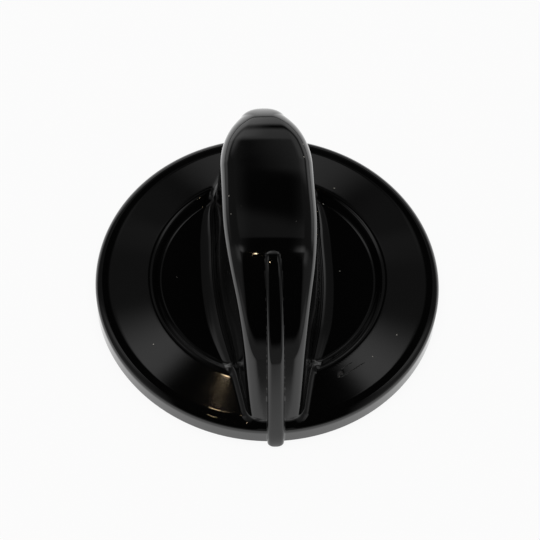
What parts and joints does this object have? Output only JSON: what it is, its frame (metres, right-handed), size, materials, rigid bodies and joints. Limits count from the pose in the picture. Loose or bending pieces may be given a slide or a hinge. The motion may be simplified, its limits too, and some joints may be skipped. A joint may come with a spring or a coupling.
{
  "type": "oven control knob",
  "caption": "Round glossy black oven control knob: a skirt with a raised ring, a tall boat-shaped grip with a pointer rib, and a sprung socket for a flatted shaft.",
  "frame": {"origin": "centre of the shaft socket's mouth, on the plane of the skirt's lower edge", "axes": "+Z along the shaft axis away from the panel, -Y towards the pointer's tip"},
  "size_m": [0.06, 0.0612, 0.0253],
  "materials": {
    "black_moulding": "high gloss moulded black, lightly scuffed",
    "spring_steel": "bright rolled strip"
  },
  "bodies": {
    "root": {"knob_body": "black_moulding", "shaft_spring": "spring_steel"}
  },
  "joints": []
}
